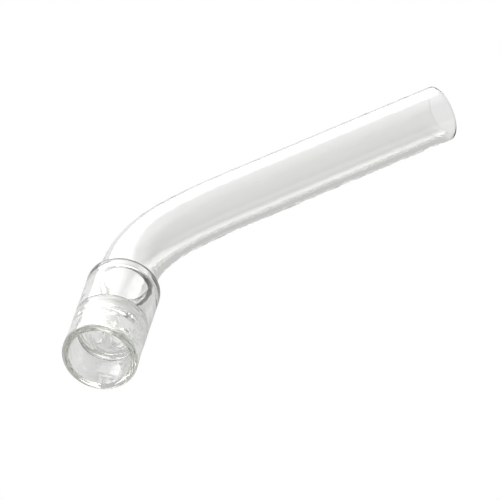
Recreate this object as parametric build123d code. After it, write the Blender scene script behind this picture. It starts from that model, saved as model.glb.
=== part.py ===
from build123d import *
import os

# A bent glass mouthpiece tube with a wide bowl at one end, in millimetres.
# Frame: the origin is the centre of the bowl's mouth. +Y runs along the bowl's axis, from the mouth into the
# tube. The stem bends in the XY plane, towards +X, and +Z is square to that plane.
# Round pieces are drawn as half sections, with X the radius and Y the distance from the mouth.

# Bowl and neck, from an 18 mm tube
TUBE_RADIUS = 9.0
BORE_RADIUS = 7.3
LIP_RADIUS = 9.2
LIP_BORE_RADIUS = 7.5
LIP_STRAIGHT = 0.6
LIP_SPREAD_Y = 6.5
LIP_BORE_SPREAD_Y = 3.2
RING_SEAL_Y = 13.9
SHOULDER_Y = 30.1
SHOULDER_ROUND = 1.2
SHOULDER_WALL = 1.8

# Stem, from a 14 mm tube
STEM_RADIUS = 7.0
STEM_BORE_RADIUS = 5.5
LEAD_LENGTH = 4.4
TIGHT_BEND_RADIUS = 31.4
TIGHT_BEND_ANGLE = 38.5
EASY_BEND_RADIUS = 104.7
EASY_BEND_ANGLE = 9.2
STRAIGHT_LENGTH = 61.7
TIP_ROUND = 0.7

# Screen, a glass disc sealed inside the bowl, with three air holes
SCREEN_Y = 10.1
SCREEN_THICKNESS = 2.0
SCREEN_FRONT_SEAL = 0.4
SCREEN_SEAL_EDGE = 0.15
AIR_HOLE_RADIUS = 1.83
AIR_HOLE_CIRCLE = 3.0
AIR_HOLES = 3
FIRST_AIR_HOLE_ANGLE = 79.0

FORWARD = (0, 1)
BACK = (0, -1)
OUT = (1, 0)
IN = (-1, 0)

# The shoulder's rounded corner runs straight into the fillet at the stem, inside and out
STEM_FILLET = TUBE_RADIUS - SHOULDER_ROUND - STEM_RADIUS
STEM_BORE_FILLET = BORE_RADIUS - SHOULDER_ROUND - STEM_BORE_RADIUS
STEM_Y = SHOULDER_Y + STEM_FILLET

os.makedirs("parts", exist_ok=True)


def turned(outline):
    """Turns a closed half section about the bowl's axis."""
    return revolve(make_face(outline), axis=Axis.Y)


def bowl():
    """The mouth's part of the wide tube, with its thickened, fire-polished lip."""
    lip_round = (LIP_RADIUS - LIP_BORE_RADIUS) / 2
    lip_y = lip_round + LIP_STRAIGHT
    barrel = Line((TUBE_RADIUS, RING_SEAL_Y), (TUBE_RADIUS, LIP_SPREAD_Y))
    flare = Spline(barrel @ 1, (LIP_RADIUS, lip_y), tangents=[BACK, BACK])
    edge = Line(flare @ 1, (LIP_RADIUS, lip_round))
    crown = ThreePointArc(edge @ 1, (LIP_RADIUS - lip_round, 0), (LIP_BORE_RADIUS, lip_round))
    throat = Spline(crown @ 1, (BORE_RADIUS, LIP_BORE_SPREAD_Y), tangents=[FORWARD, FORWARD])
    bore = Line(throat @ 1, (BORE_RADIUS, RING_SEAL_Y))
    seal = Line(bore @ 1, barrel @ 0)
    return turned([barrel, flare, edge, crown, throat, bore, seal])


def neck():
    """The rest of the wide tube, closed in by a square, rounded shoulder to the size of the stem."""
    corner_x = TUBE_RADIUS - SHOULDER_ROUND
    bore_corner_x = BORE_RADIUS - SHOULDER_ROUND
    bore_shoulder_y = SHOULDER_Y - SHOULDER_WALL
    barrel = Line((TUBE_RADIUS, RING_SEAL_Y), (TUBE_RADIUS, SHOULDER_Y - SHOULDER_ROUND))
    corner = TangentArc(barrel @ 1, (corner_x, SHOULDER_Y), tangent=FORWARD)
    hollow = TangentArc(corner @ 1, (STEM_RADIUS, STEM_Y), tangent=IN)
    stem_seal = Line(hollow @ 1, (STEM_BORE_RADIUS, STEM_Y))
    stem_bore = Line(stem_seal @ 1, (STEM_BORE_RADIUS, bore_shoulder_y + STEM_BORE_FILLET))
    throat = TangentArc(stem_bore @ 1, (bore_corner_x, bore_shoulder_y), tangent=BACK)
    bore_corner = TangentArc(throat @ 1, (BORE_RADIUS, bore_shoulder_y - SHOULDER_ROUND), tangent=OUT)
    bore = Line(bore_corner @ 1, (BORE_RADIUS, RING_SEAL_Y))
    seal = Line(bore @ 1, barrel @ 0)
    return turned([barrel, corner, hollow, stem_seal, stem_bore, throat, bore_corner, bore, seal])


def screen():
    """The perforated glass disc, with the fillets of melted glass that seal its rim to the bore."""
    back_y = SCREEN_Y + SCREEN_THICKNESS
    back_seal = RING_SEAL_Y - back_y
    edge_x = BORE_RADIUS - SCREEN_SEAL_EDGE
    front = Line((0, SCREEN_Y), (BORE_RADIUS - SCREEN_FRONT_SEAL, SCREEN_Y))
    front_fillet = TangentArc(front @ 1, (BORE_RADIUS, SCREEN_Y - SCREEN_FRONT_SEAL), tangent=OUT)
    rim = Line(front_fillet @ 1, (BORE_RADIUS, RING_SEAL_Y))
    rim_edge = Line(rim @ 1, (edge_x, RING_SEAL_Y))
    back_fillet = TangentArc(rim_edge @ 1, (edge_x - back_seal, back_y), tangent=BACK)
    back = Line(back_fillet @ 1, (0, back_y))
    axis = Line(back @ 1, front @ 0)
    disc = turned([front, front_fillet, rim, rim_edge, back_fillet, back, axis])
    face = Plane(origin=(0, SCREEN_Y, 0), x_dir=(1, 0, 0), z_dir=(0, -1, 0))
    places = PolarLocations(AIR_HOLE_CIRCLE, AIR_HOLES, start_angle=FIRST_AIR_HOLE_ANGLE)
    return disc - face * places * Cylinder(AIR_HOLE_RADIUS, 4 * SCREEN_THICKNESS)


def stem():
    """The narrow tube: a short lead, a tight bend that eases off, and a long straight run to the open tip."""
    lead = Line((0, STEM_Y, 0), (0, STEM_Y + LEAD_LENGTH, 0))
    tight = JernArc(lead @ 1, lead % 1, TIGHT_BEND_RADIUS, -TIGHT_BEND_ANGLE)
    easy = JernArc(tight @ 1, tight % 1, EASY_BEND_RADIUS, -EASY_BEND_ANGLE)
    straight = Line(easy @ 1, (easy @ 1) + (easy % 1) * STRAIGHT_LENGTH)
    section = Plane(origin=lead @ 0, z_dir=lead % 0) * (Circle(STEM_RADIUS) - Circle(STEM_BORE_RADIUS))
    tube = sweep(section, path=Wire([lead, tight, easy, straight]))
    tip_face = tube.faces().sort_by_distance(straight @ 1)[0]
    return fillet(tip_face.edges(), TIP_ROUND)


for name, piece in {"bowl": bowl(), "screen": screen(), "neck": neck(), "stem": stem()}.items():
    export_step(piece, f"parts/{name}.step")
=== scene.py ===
import math

import bmesh
import bpy
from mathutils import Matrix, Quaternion, Vector, noise
from mathutils.geometry import delaunay_2d_cdt


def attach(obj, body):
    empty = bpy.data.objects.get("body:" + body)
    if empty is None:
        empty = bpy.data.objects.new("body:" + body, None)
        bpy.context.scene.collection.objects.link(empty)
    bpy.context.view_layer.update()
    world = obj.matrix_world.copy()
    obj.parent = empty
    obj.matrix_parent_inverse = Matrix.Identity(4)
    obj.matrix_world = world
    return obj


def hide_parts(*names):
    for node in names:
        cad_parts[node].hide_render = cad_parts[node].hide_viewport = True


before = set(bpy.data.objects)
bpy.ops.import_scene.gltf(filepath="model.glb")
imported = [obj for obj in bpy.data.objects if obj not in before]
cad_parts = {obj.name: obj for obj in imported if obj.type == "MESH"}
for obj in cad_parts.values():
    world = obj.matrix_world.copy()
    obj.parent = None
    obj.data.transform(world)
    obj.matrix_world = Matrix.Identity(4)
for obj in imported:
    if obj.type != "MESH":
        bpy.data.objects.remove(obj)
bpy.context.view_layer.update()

MM = 0.001

# Sizes of the glass, in millimetres. +Y runs from the mouth into the tube, and the stem bends towards +X.
TUBE_RADIUS = 9.0
BORE_RADIUS = 7.3
LIP_RADIUS = 9.2
LIP_BORE_RADIUS = 7.5
LIP_STRAIGHT = 0.6
LIP_SPREAD_Y = 6.5
LIP_BORE_SPREAD_Y = 3.2
RING_SEAL_Y = 13.9
SHOULDER_Y = 30.1
SHOULDER_ROUND = 1.2
SHOULDER_WALL = 1.8
STEM_RADIUS = 7.0
STEM_BORE_RADIUS = 5.5
STEM_FILLET = TUBE_RADIUS - SHOULDER_ROUND - STEM_RADIUS
STEM_BORE_FILLET = BORE_RADIUS - SHOULDER_ROUND - STEM_BORE_RADIUS
STEM_Y = SHOULDER_Y + STEM_FILLET
LEAD_LENGTH = 4.4
TIGHT_BEND_RADIUS = 31.4
TIGHT_BEND_ANGLE = math.radians(38.5)
EASY_BEND_RADIUS = 104.7
EASY_BEND_ANGLE = math.radians(9.2)
STRAIGHT_LENGTH = 61.7
TIP_ROUND = 0.7
SCREEN_Y = 10.1
SCREEN_THICKNESS = 2.0
SCREEN_FRONT_SEAL = 0.4
SCREEN_SEAL_EDGE = 0.15
SEAT_Y = SCREEN_Y - SCREEN_FRONT_SEAL
AIR_HOLE_RADIUS = 1.83
AIR_HOLE_ROUND = 0.35
AIR_HOLE_WIDE = AIR_HOLE_RADIUS + AIR_HOLE_ROUND
AIR_HOLE_CIRCLE = 3.0
AIR_HOLES = 3
FIRST_AIR_HOLE_ANGLE = math.radians(79.0)

# Fineness of the meshes
ROUND_STEPS = 256
HOLE_STEPS = 64
CORNER_STEPS = 14
WALL_STEP = 0.22
HOLE_WALL_STEP = 0.3
STEM_STEP = 0.6
GRID = 0.45
SAME_POINT = 1e-6

# Pieces overlap by FUSED where light has to pass straight from one to the next. They stand back from the ring
# seal by SEAM_GAP, so that it shows.
SEAM_GAP = 0.008
FUSED = 0.02

# How far flame work moved the walls, and the middle and reach, along Y, of the stretches that it worked most
RIPPLE = 0.02
SCREEN_RIPPLE = 0.08
SHOULDER_RIPPLE = 0.04
SCREEN_STREAK = 0.045
SWAY = 0.03
SCREEN_WORK = (10.5, 4.2)
SHOULDER_WORK = (28.5, 3.0)
# Lumps per millimetre, across the tube and along it
RIPPLE_GRAIN = (0.11, 0.55)
STREAK_GRAIN = (0.3, 1.3)
SWAY_GRAIN = (0.06, 0.06)
INSIDE_SHIFT = 40.0
# The wall is untouched at the screen's seat, and by the mouth its outside only moves inwards
SEAT_FADE = 1.5
LIP_FREE_Y = 2.5
# The screen's faces swell a little, away from its rim and its holes
SCREEN_SWELL = 0.02
SWELL_GRAIN = 0.35
SWELL_RIM_FADE = 1.5
SWELL_HOLE_FADE = 1.0

# A small blister that stands on the outside of the bowl
BLISTER_RADIUS = 0.5
BLISTER_HEIGHT = 0.06
BLISTER_Y = 8.45
BLISTER_ANGLE = math.radians(59)
BLISTER = Vector((TUBE_RADIUS * math.cos(BLISTER_ANGLE), BLISTER_Y, TUBE_RADIUS * math.sin(BLISTER_ANGLE)))

# The glass. DEPTH_DENSITY is per metre, and LINES_DEPTH is in metres.
GLASS_TINT = (0.990, 0.992, 0.986)
DEPTH_TINT = (0.80, 0.82, 0.75)
DEPTH_DENSITY = 40
GLASS_IOR = 1.474
LINES_SCALE = 260
LINES_DETAIL = 3
LINES_STRENGTH = 0.015
LINES_DEPTH = 0.0002

# The studio, in metres and degrees. Azimuth 0 looks along +Y.
FLOOR_HALF_SIZE = 4.0
FLOOR_CLEARANCE = 0.00005
PAPER = (0.80, 0.80, 0.80)
PAPER_GLOW = 1.01
PAPER_SHADING = 0.45
# Each layer of the backdrop: the azimuth and elevation of its middle, how squarely a way must face that to be
# lit at all and to be lit fully, and its light
BACKDROP = ((194, 35, 0.42, 0.90, 1.2), (198, 16, 0.78, 0.97, 3.0))
ROOM_LIGHT = 0.26
CAMERA_AZIMUTH = 14.28
CAMERA_ELEVATION = 33.55
CAMERA_ROLL = 6.55
CAMERA_DISTANCE = 2.139
CAMERA_LENS = 642.3
CAMERA_SENSOR = 36
CAMERA_SEES = (0.05, 50)
AIM = Vector((0.02753, 0.04703, 0))
BOUNCES = 40
GLOSSY_BOUNCES = 12


def direction(azimuth, elevation):
    """The way from the object to something at these angles, in degrees."""
    a, e = math.radians(azimuth), math.radians(elevation)
    return Vector((math.sin(a) * math.cos(e), -math.cos(a) * math.cos(e), math.sin(e)))


def smooth(value):
    """0 to 1 with no slope at either end."""
    value = min(max(value, 0.0), 1.0)
    return value * value * (3 - 2 * value)


def between(start, end, step):
    """Points on a straight line from start up to but not including end."""
    start, end = Vector(start), Vector(end)
    count = max(1, round((end - start).length / step))
    return [start.lerp(end, i / count) for i in range(count)]


def corner(centre, size, first, last, steps=CORNER_STEPS):
    """Points on an arc, from the angle first up to but not including last."""
    turns = [first + (last - first) * i / steps for i in range(steps)]
    return [Vector((centre[0] + size * math.cos(t), centre[1] + size * math.sin(t))) for t in turns]


def make_mesh(name, points, faces):
    """A piece of glass from a closed skin. Its faces are turned outwards, so light bends the right way."""
    mesh = bpy.data.meshes.new(name)
    mesh.from_pydata([tuple(p * MM) for p in points], [], faces)
    mesh.validate()
    skin = bmesh.new()
    skin.from_mesh(mesh)
    bmesh.ops.recalc_face_normals(skin, faces=skin.faces)
    skin.to_mesh(mesh)
    skin.free()
    mesh.shade_smooth()
    piece = bpy.data.objects.new(name, mesh)
    bpy.context.scene.collection.objects.link(piece)
    return piece


def ring_faces(rings, closed):
    """Quads between rings of ROUND_STEPS points. closed joins the last ring to the first."""
    faces = []
    for r in range(rings if closed else rings - 1):
        low, high = r * ROUND_STEPS, (r + 1) % rings * ROUND_STEPS
        for i in range(ROUND_STEPS):
            j = (i + 1) % ROUND_STEPS
            faces.append((low + i, low + j, high + j, high + i))
    return faces


def near(y, work):
    """1 in the middle of a worked stretch of the tube, and less and less to either side."""
    middle, reach = work
    return math.exp(-((y - middle) / reach) ** 2)


def uneven(point, grain, shift_x=0.0, shift_y=0.0):
    """Smooth noise between -1 and 1."""
    across, along = grain
    return noise.noise(Vector((point.x * across + shift_x, point.y * along + shift_y, point.z * across)))


def handmade(point, outside):
    """How far flame work moved the wall at a point, in millimetres, outwards."""
    shift = 0.0 if outside else INSIDE_SHIFT
    by_screen = near(point.y, SCREEN_WORK)
    ripple = RIPPLE + SCREEN_RIPPLE * by_screen + SHOULDER_RIPPLE * near(point.y, SHOULDER_WORK)
    size = ripple * uneven(point, RIPPLE_GRAIN, shift_x=shift)
    size += SCREEN_STREAK * by_screen * uneven(point, STREAK_GRAIN, shift_y=shift)
    size += SWAY * uneven(point, SWAY_GRAIN, shift_y=shift)
    if outside:
        size += BLISTER_HEIGHT * math.exp(-((point - BLISTER).length / BLISTER_RADIUS) ** 2)
        return min(size, 0.0) if point.y < LIP_FREE_Y else size
    to_seat = max(SEAT_Y - point.y, point.y - RING_SEAL_Y)
    return size * smooth(to_seat / SEAT_FADE)


def lathe(name, outline):
    """A closed ring of glass, turned about the Y axis from (radius, y, is outside) points."""
    points = []
    for radius, y, outside in outline:
        for i in range(ROUND_STEPS):
            turn = 2 * math.pi * i / ROUND_STEPS
            out = Vector((math.cos(turn), 0, math.sin(turn)))
            at = out * radius + Vector((0, y, 0))
            points.append(at + out * handmade(at, outside))
    return make_mesh(name, points, ring_faces(len(outline), True))


def marked(points, outside):
    """Points of a half section as lathe takes them."""
    return [(p.x, p.y, outside) for p in points]


def outer_radius(y):
    lip_y = (LIP_RADIUS - LIP_BORE_RADIUS) / 2 + LIP_STRAIGHT
    spread = smooth((y - lip_y) / (LIP_SPREAD_Y - lip_y))
    return TUBE_RADIUS + (LIP_RADIUS - TUBE_RADIUS) * (1 - spread)


def inner_radius(y):
    lip_y = (LIP_RADIUS - LIP_BORE_RADIUS) / 2
    spread = smooth((y - lip_y) / (LIP_BORE_SPREAD_Y - lip_y))
    return BORE_RADIUS + (LIP_BORE_RADIUS - BORE_RADIUS) * (1 - spread)


def bowl():
    lip_round = (LIP_RADIUS - LIP_BORE_RADIUS) / 2
    end_y = RING_SEAL_Y - SEAM_GAP
    outer = [Vector((outer_radius(p.y), p.y)) for p in between((0, end_y), (0, lip_round), WALL_STEP)]
    crown = corner((LIP_RADIUS - lip_round, lip_round), lip_round, 0, -math.pi, 2 * CORNER_STEPS)
    inner = [Vector((inner_radius(p.y), p.y)) for p in between((0, lip_round), (0, end_y), WALL_STEP)]
    inner.append(Vector((BORE_RADIUS, end_y)))
    return lathe("bowl_glass", marked(outer + crown, True) + marked(inner, False))


def neck():
    start_y = RING_SEAL_Y + SEAM_GAP
    end_y = STEM_Y + FUSED
    bore_shoulder_y = SHOULDER_Y - SHOULDER_WALL
    corner_y = SHOULDER_Y - SHOULDER_ROUND
    bore_corner_y = bore_shoulder_y - SHOULDER_ROUND
    outer = between((TUBE_RADIUS, start_y), (TUBE_RADIUS, corner_y), WALL_STEP)
    outer += corner((TUBE_RADIUS - SHOULDER_ROUND, corner_y), SHOULDER_ROUND, 0, math.pi / 2)
    outer += corner((STEM_RADIUS + STEM_FILLET, STEM_Y), STEM_FILLET, -math.pi / 2, -math.pi)
    outer.append(Vector((STEM_RADIUS, end_y)))
    throat_y = bore_shoulder_y + STEM_BORE_FILLET
    throat = (STEM_BORE_RADIUS + STEM_BORE_FILLET, throat_y)
    inner = between((STEM_BORE_RADIUS, end_y), (STEM_BORE_RADIUS, throat_y), WALL_STEP)
    inner += corner(throat, STEM_BORE_FILLET, math.pi, 1.5 * math.pi)
    inner += corner((BORE_RADIUS - SHOULDER_ROUND, bore_corner_y), SHOULDER_ROUND, math.pi / 2, 0)
    inner += between((BORE_RADIUS, bore_corner_y), (BORE_RADIUS, start_y), WALL_STEP)
    inner.append(Vector((BORE_RADIUS, start_y)))
    return lathe("neck_glass", marked(outer, True) + marked(inner, False))


def stem_path(step):
    """Places along the stem: (point, direction) from the shoulder to the tip."""
    at, way = Vector((0, STEM_Y - FUSED, 0)), Vector((0, 1, 0))
    places = []
    runs = (
        (LEAD_LENGTH + FUSED, None),
        (TIGHT_BEND_ANGLE * TIGHT_BEND_RADIUS, TIGHT_BEND_RADIUS),
        (EASY_BEND_ANGLE * EASY_BEND_RADIUS, EASY_BEND_RADIUS),
        (STRAIGHT_LENGTH - TIP_ROUND, None),
    )
    for length, radius in runs:
        count = round(length / step)
        for i in range(count):
            places.append((at.copy(), way.copy()))
            if radius is None:
                at += way * length / count
                continue
            turn = length / count / radius
            side = Vector((way.y, -way.x, 0))
            at += (way * math.sin(turn) + side * (1 - math.cos(turn))) * radius
            way = way * math.cos(turn) + side * math.sin(turn)
    places.append((at.copy(), way.copy()))
    return places


def stem():
    """Rings up the outside, round the polished tip and back down the bore."""
    places = stem_path(STEM_STEP)
    rings = [(at, way, STEM_RADIUS, True) for at, way in places]
    tip, way = places[-1]
    for turn in (i * math.pi / 2 / CORNER_STEPS for i in range(1, CORNER_STEPS + 1)):
        along = tip + way * TIP_ROUND * math.sin(turn)
        rings.append((along, way, STEM_RADIUS - TIP_ROUND * (1 - math.cos(turn)), True))
    for turn in (i * math.pi / 2 / CORNER_STEPS for i in range(CORNER_STEPS, 0, -1)):
        along = tip + way * TIP_ROUND * math.sin(turn)
        rings.append((along, way, STEM_BORE_RADIUS + TIP_ROUND * (1 - math.cos(turn)), False))
    rings += [(at, way, STEM_BORE_RADIUS, False) for at, way in reversed(places)]
    points = []
    for at, way, radius, outside in rings:
        side = Vector((way.y, -way.x, 0))
        for i in range(ROUND_STEPS):
            turn = 2 * math.pi * i / ROUND_STEPS
            out = side * math.cos(turn) + Vector((0, 0, 1)) * math.sin(turn)
            spot = at + out * radius
            points.append(spot + out * handmade(spot, outside))
    return make_mesh("stem_glass", points, ring_faces(len(rings), True))


def hole_centres():
    turns = [FIRST_AIR_HOLE_ANGLE + 2 * math.pi * i / AIR_HOLES for i in range(AIR_HOLES)]
    return [Vector((math.cos(t), math.sin(t))) * AIR_HOLE_CIRCLE for t in turns]


def circle(centre, radius, steps):
    turns = [2 * math.pi * i / steps for i in range(steps)]
    return [centre + Vector((math.cos(t), math.sin(t))) * radius for t in turns]


def to_nearest_hole(spot):
    """How far a point in the screen's plane is outside the softened edge of the nearest hole."""
    return min((spot - c).length for c in hole_centres()) - AIR_HOLE_WIDE


def screen_sheet(rim_radius):
    """The flat part of one face of the screen: points in the XZ plane, triangles, and its edge loops."""
    outlines = [(Vector((0, 0)), rim_radius, ROUND_STEPS)]
    outlines += [(c, AIR_HOLE_WIDE, HOLE_STEPS) for c in hole_centres()]
    loops, points, edges = [], [], []
    for centre, radius, steps in outlines:
        first = len(points)
        points += circle(centre, radius, steps)
        loops.append(list(range(first, first + steps)))
        edges += [(first + i, first + (i + 1) % steps) for i in range(steps)]
    count = int(rim_radius / GRID)
    for i in range(-count, count + 1):
        for j in range(-count, count + 1):
            spot = Vector((i + 0.5 * (j % 2), j * math.sqrt(0.75))) * GRID
            if to_nearest_hole(spot) > GRID / 3 and spot.length < rim_radius - GRID / 3:
                points.append(spot)
    spots, _, triangles, _, _, _ = delaunay_2d_cdt(points, edges, [], 0, SAME_POINT)
    kept = []
    for face in triangles:
        middle = (spots[face[0]] + spots[face[1]] + spots[face[2]]) / 3
        if middle.length < rim_radius and to_nearest_hole(middle) > 0:
            kept.append(tuple(face))
    return spots, kept, loops


def add_sheet(points, faces, flat, y, flip):
    """Adds one gently swollen face of the screen, and gives its edge loops: the rim's, then the holes'."""
    spots, triangles, loops = screen_sheet(flat)
    first = len(points)
    for s in spots:
        swell = SCREEN_SWELL * noise.noise(Vector((s.x * SWELL_GRAIN, y, s.y * SWELL_GRAIN)))
        swell *= smooth((flat - s.length) / SWELL_RIM_FADE)
        for c in hole_centres():
            swell *= smooth(((s - c).length - AIR_HOLE_WIDE) / SWELL_HOLE_FADE)
        points.append(Vector((s.x, y + swell, s.y)))
    for t in triangles:
        a, b, c = (first + k for k in t)
        faces.append((a, c, b) if flip else (a, b, c))
    return [[first + k for k in loop] for loop in loops]


def add_ring(points, centre, radius, y, steps):
    first = len(points)
    points.extend(Vector((p.x, y, p.y)) for p in circle(centre, radius, steps))
    return list(range(first, first + steps))


def join(faces, rings):
    """Quads between each ring and the next."""
    for low, high in zip(rings, rings[1:]):
        for i in range(len(low)):
            j = (i + 1) % len(low)
            faces.append((low[i], low[j], high[j], high[i]))


def rim_outline(front_flat, back_flat, back_seal):
    """The screen's edge from front to back: a fillet, the rim, which is sunk in the wall, and a fillet."""
    rim = BORE_RADIUS + FUSED
    seal_y = SCREEN_Y + SCREEN_THICKNESS + back_seal
    outline = corner((front_flat, SEAT_Y), SCREEN_FRONT_SEAL, math.pi / 2, 0)[1:]
    outline.append(Vector((BORE_RADIUS, SEAT_Y)))
    outline += between((rim, SEAT_Y), (rim, seal_y), WALL_STEP)
    outline.append(Vector((rim, seal_y)))
    return outline + corner((back_flat, seal_y), back_seal, 0, -math.pi / 2)


def hole_wall():
    """The wall of an air hole from front to back, with softened edges, as (distance from its middle, y)."""
    back_y = SCREEN_Y + SCREEN_THICKNESS
    front_edge, back_edge = SCREEN_Y + AIR_HOLE_ROUND, back_y - AIR_HOLE_ROUND
    wall = corner((AIR_HOLE_WIDE, front_edge), AIR_HOLE_ROUND, -math.pi / 2, -math.pi)[1:]
    wall += between((AIR_HOLE_RADIUS, front_edge), (AIR_HOLE_RADIUS, back_edge), HOLE_WALL_STEP)
    return wall + corner((AIR_HOLE_WIDE, back_edge), AIR_HOLE_ROUND, math.pi, math.pi / 2)


def screen():
    """The glass disc. Its holes have softened edges, and its rim spreads into fillets at the bore."""
    back_y = SCREEN_Y + SCREEN_THICKNESS
    back_seal = RING_SEAL_Y - SEAM_GAP - back_y
    front_flat = BORE_RADIUS - SCREEN_FRONT_SEAL
    back_flat = BORE_RADIUS - SCREEN_SEAL_EDGE - back_seal
    points, faces = [], []
    front = add_sheet(points, faces, front_flat, SCREEN_Y, False)
    back = add_sheet(points, faces, back_flat, back_y, True)
    outline = rim_outline(front_flat, back_flat, back_seal)
    rim_rings = [add_ring(points, Vector((0, 0)), p.x, p.y, ROUND_STEPS) for p in outline]
    join(faces, [front[0]] + rim_rings + [back[0]])
    for centre, top, bottom in zip(hole_centres(), front[1:], back[1:]):
        wall_rings = [add_ring(points, centre, p.x, p.y, HOLE_STEPS) for p in hole_wall()]
        join(faces, ([top] + wall_rings + [bottom])[::-1])
    return make_mesh("screen_glass", points, faces)


def glass(name):
    """Clear flame-worked glass, with faint drawn lines and a tint that deepens with its thickness."""
    made = bpy.data.materials.new(name)
    made.use_nodes = True
    nodes, links = made.node_tree.nodes, made.node_tree.links
    shader = nodes["Principled BSDF"]
    shader.inputs["Base Color"].default_value = (*GLASS_TINT, 1)
    shader.inputs["Transmission Weight"].default_value = 1
    shader.inputs["IOR"].default_value = GLASS_IOR
    shader.inputs["Roughness"].default_value = 0.0
    place = nodes.new("ShaderNodeTexCoord")
    lines = nodes.new("ShaderNodeTexNoise")
    lines.inputs["Scale"].default_value = LINES_SCALE
    lines.inputs["Detail"].default_value = LINES_DETAIL
    links.new(place.outputs["Object"], lines.inputs["Vector"])
    bump = nodes.new("ShaderNodeBump")
    bump.inputs["Strength"].default_value = LINES_STRENGTH
    bump.inputs["Distance"].default_value = LINES_DEPTH
    links.new(lines.outputs["Fac"], bump.inputs["Height"])
    links.new(bump.outputs["Normal"], shader.inputs["Normal"])
    inside = nodes.new("ShaderNodeVolumeAbsorption")
    inside.inputs["Color"].default_value = (*DEPTH_TINT, 1)
    inside.inputs["Density"].default_value = DEPTH_DENSITY
    links.new(inside.outputs["Volume"], nodes["Material Output"].inputs["Volume"])
    return made


def finish_piece(piece, node, material):
    piece.data.materials.append(material)
    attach(piece, "root")
    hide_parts(node)


CLEAR = glass("clear_glass")
SCREEN_GLASS = glass("screen_glass")
finish_piece(bowl(), "bowl", CLEAR)
finish_piece(neck(), "neck", CLEAR)
finish_piece(stem(), "stem", CLEAR)
finish_piece(screen(), "screen", SCREEN_GLASS)


def rest_plane():
    """The plane the tube lies on, as a point and a normal. It touches the lip and the stem's straight run."""
    places = stem_path(STEM_STEP)
    tip, way = places[-1]
    side = Vector((way.y, -way.x, 0))
    reach = (Vector((0, 0, 0)) - tip).dot(side)
    lean = math.asin((LIP_RADIUS - STEM_RADIUS) / reach)
    normal = Vector((0, 0, 1)) * math.cos(lean) + side * math.sin(lean)
    return (tip - normal * STEM_RADIUS) * MM, normal


def camera_sees_white(nodes, links, shader, output, white_type):
    """Direct view gets plain white. A view by way of the glass gets the shader itself."""
    white = nodes.new(white_type)
    white.inputs["Color"].default_value = (1, 1, 1, 1)
    white.inputs["Strength"].default_value = 1.0
    seen = nodes.new("ShaderNodeLightPath")
    mix = nodes.new("ShaderNodeMixShader")
    links.new(seen.outputs["Is Camera Ray"], mix.inputs["Fac"])
    links.new(shader.outputs[0], mix.inputs[1])
    links.new(white.outputs[0], mix.inputs[2])
    links.new(mix.outputs["Shader"], output.inputs["Surface"])


def add_floor():
    """White paper that the tube lies on. The tube shades it close by."""
    point, normal = rest_plane()
    mesh = bpy.data.meshes.new("floor")
    size = FLOOR_HALF_SIZE
    corners = [(-size, -size, 0), (size, -size, 0), (size, size, 0), (-size, size, 0)]
    mesh.from_pydata(corners, [], [(0, 1, 2, 3)])
    floor = bpy.data.objects.new("floor", mesh)
    floor.rotation_mode = "QUATERNION"
    floor.rotation_quaternion = Vector((0, 0, 1)).rotation_difference(normal)
    floor.location = point - normal * FLOOR_CLEARANCE
    bpy.context.scene.collection.objects.link(floor)
    made = bpy.data.materials.new("floor_paper")
    made.use_nodes = True
    nodes, links = made.node_tree.nodes, made.node_tree.links
    nodes.remove(nodes["Principled BSDF"])
    paper = nodes.new("ShaderNodeBsdfDiffuse")
    paper.inputs["Color"].default_value = (*PAPER, 1)
    glow = nodes.new("ShaderNodeEmission")
    glow.inputs["Strength"].default_value = PAPER_GLOW
    lit_paper = nodes.new("ShaderNodeMixShader")
    lit_paper.inputs["Fac"].default_value = PAPER_SHADING
    links.new(glow.outputs["Emission"], lit_paper.inputs[1])
    links.new(paper.outputs["BSDF"], lit_paper.inputs[2])
    camera_sees_white(nodes, links, lit_paper, nodes["Material Output"], "ShaderNodeEmission")
    mesh.materials.append(made)


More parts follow.
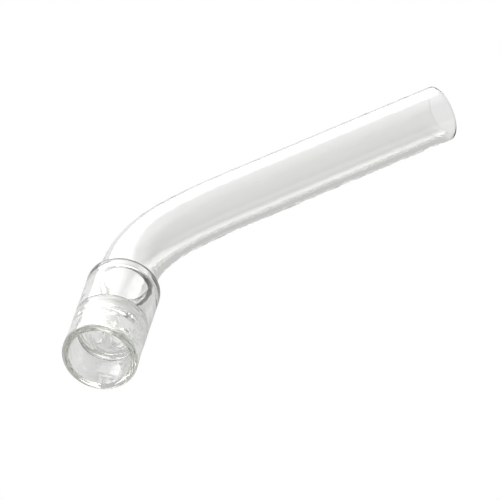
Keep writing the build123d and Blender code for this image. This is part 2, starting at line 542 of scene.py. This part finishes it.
def add_world():
    """A wide, soft backdrop behind and above the tube that fades into a dim room in front of it."""
    world = bpy.data.worlds.new("studio")
    bpy.context.scene.world = world
    world.use_nodes = True
    nodes, links = world.node_tree.nodes, world.node_tree.links
    place = nodes.new("ShaderNodeTexCoord")
    total = nodes.new("ShaderNodeValue")
    total.outputs[0].default_value = ROOM_LIGHT
    for azimuth, elevation, start, full, light in BACKDROP:
        facing = nodes.new("ShaderNodeVectorMath")
        facing.operation = "DOT_PRODUCT"
        facing.inputs[1].default_value = direction(azimuth, elevation)
        links.new(place.outputs["Generated"], facing.inputs[0])
        fade = nodes.new("ShaderNodeMapRange")
        fade.interpolation_type = "SMOOTHSTEP"
        fade.inputs["From Min"].default_value = start
        fade.inputs["From Max"].default_value = full
        fade.inputs["To Max"].default_value = light
        links.new(facing.outputs["Value"], fade.inputs["Value"])
        more = nodes.new("ShaderNodeMath")
        links.new(total.outputs[0], more.inputs[0])
        links.new(fade.outputs["Result"], more.inputs[1])
        total = more
    around = nodes["Background"]
    around.inputs["Color"].default_value = (1, 1, 1, 1)
    links.new(total.outputs[0], around.inputs["Strength"])
    camera_sees_white(nodes, links, around, nodes["World Output"], "ShaderNodeBackground")


def add_camera():
    data = bpy.data.cameras.new("camera")
    data.lens = CAMERA_LENS
    data.sensor_width = CAMERA_SENSOR
    data.clip_start, data.clip_end = CAMERA_SEES
    camera = bpy.data.objects.new("camera", data)
    back = direction(CAMERA_AZIMUTH, CAMERA_ELEVATION)
    camera.location = AIM + back * CAMERA_DISTANCE
    camera.rotation_mode = "QUATERNION"
    level = (-back).to_track_quat("-Z", "Y")
    camera.rotation_quaternion = level @ Quaternion((0, 0, 1), math.radians(-CAMERA_ROLL))
    bpy.context.scene.collection.objects.link(camera)
    bpy.context.scene.camera = camera


add_floor()
add_world()
add_camera()
scene = bpy.context.scene
scene.view_settings.view_transform = "Standard"
scene.cycles.max_bounces = BOUNCES
scene.cycles.transmission_bounces = BOUNCES
scene.cycles.glossy_bounces = GLOSSY_BOUNCES
scene.cycles.caustics_refractive = False
scene.cycles.caustics_reflective = False
